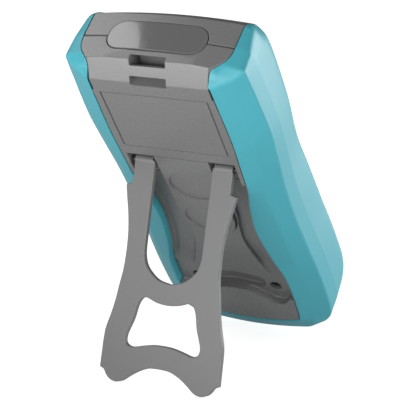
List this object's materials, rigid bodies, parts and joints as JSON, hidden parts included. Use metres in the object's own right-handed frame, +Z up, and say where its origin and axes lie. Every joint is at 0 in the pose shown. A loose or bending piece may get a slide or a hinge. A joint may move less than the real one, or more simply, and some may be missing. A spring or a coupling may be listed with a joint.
{
  "type": "digital multimeter",
  "caption": "Hand-held digital multimeter in a rubber bumper boot, leaning on a folding two-armed tilt stand, with keys, a turning selector and input jacks.",
  "frame": {"origin": "bottom centre of the bounding box, on the surface the meter and its stand rest on", "axes": "+Z up, +X across the meter, -Y the side its face is turned to, +Y the side of the stand"},
  "size_m": [0.0972, 0.1612, 0.1825],
  "materials": {
    "case": "fine spark texture, moulded ABS",
    "boot": "satin over-moulded elastomer",
    "stand": "fine spark texture, moulded ABS",
    "cap": "polished",
    "steel": "zinc plated",
    "dark_plastic": "matte",
    "red_plastic": "matte",
    "white_plastic": "smooth acetal",
    "lens": "clear acrylic over a dark border",
    "glass": "display glass",
    "elastomer": "matte silicone",
    "board": "solder mask",
    "brass": "turned, plated",
    "spring_brass": "stamped",
    "ceramic": "glazed tube",
    "battery": "printed wrap left bare",
    "manganin": "rolled strip",
    "epoxy_blue": "dipped epoxy",
    "chip": "moulded epoxy"
  },
  "bodies": {
    "meter": {"front_case": "case", "back_case": "case", "bumper_boot": "boot", "sensor_cap": "cap", "case_screws": "steel", "battery_cover": "case", "battery_cover_screw": "steel", "battery": "battery", "battery_contacts": "spring_brass", "display_lens": "lens", "lcd_frame": "white_plastic", "lcd_glass": "glass", "backlight": "white_plastic", "zebra_strips": "elastomer", "main_board": "board", "board_screws": "steel", "keypad_mat": "elastomer", "jack_sleeves": "brass", "jack_shroud_common": "dark_plastic", "jack_shrouds": "red_plastic", "fuse_large": "ceramic", "fuse_small": "ceramic", "fuse_clips": "steel", "current_shunt": "manganin", "surge_discs": "epoxy_blue", "input_resistors": "epoxy_blue", "measuring_chips": "chip", "buzzer": "chip"},
    "stand": {"tilt_stand": "stand", "hinge_pins": "steel"},
    "selector": {"selector_knob": "dark_plastic", "selector_rotor": "white_plastic", "selector_wipers": "spring_brass"},
    "key_1_body": {"key_1": "dark_plastic"},
    "key_2_body": {"key_2": "dark_plastic"},
    "key_3_body": {"key_3": "dark_plastic"},
    "key_4_body": {"key_4": "dark_plastic"}
  },
  "joints": [
    {"name": "stand_hinge", "type": "hinge", "parent": "meter", "child": "stand", "pos_m": [0, 0.03846, 0.10727], "axis": [1, 0, 0], "range_deg": [-53.6, 0]},
    {"name": "selector_turn", "type": "hinge", "parent": "meter", "child": "selector", "pos_m": [0, -0.02632, 0.09408], "axis": [0, -0.7704, 0.6375], "continuous": true},
    {"name": "key_1_press", "type": "slide", "parent": "meter", "child": "key_1_body", "axis": [0, 0.7704, -0.6375], "range_m": [0, 0.001], "stiffness_N_per_m": 600},
    {"name": "key_2_press", "type": "slide", "parent": "meter", "child": "key_2_body", "axis": [0, 0.7704, -0.6375], "range_m": [0, 0.001], "stiffness_N_per_m": 600},
    {"name": "key_3_press", "type": "slide", "parent": "meter", "child": "key_3_body", "axis": [0, 0.7704, -0.6375], "range_m": [0, 0.001], "stiffness_N_per_m": 600},
    {"name": "key_4_press", "type": "slide", "parent": "meter", "child": "key_4_body", "axis": [0, 0.7704, -0.6375], "range_m": [0, 0.001], "stiffness_N_per_m": 600}
  ]
}
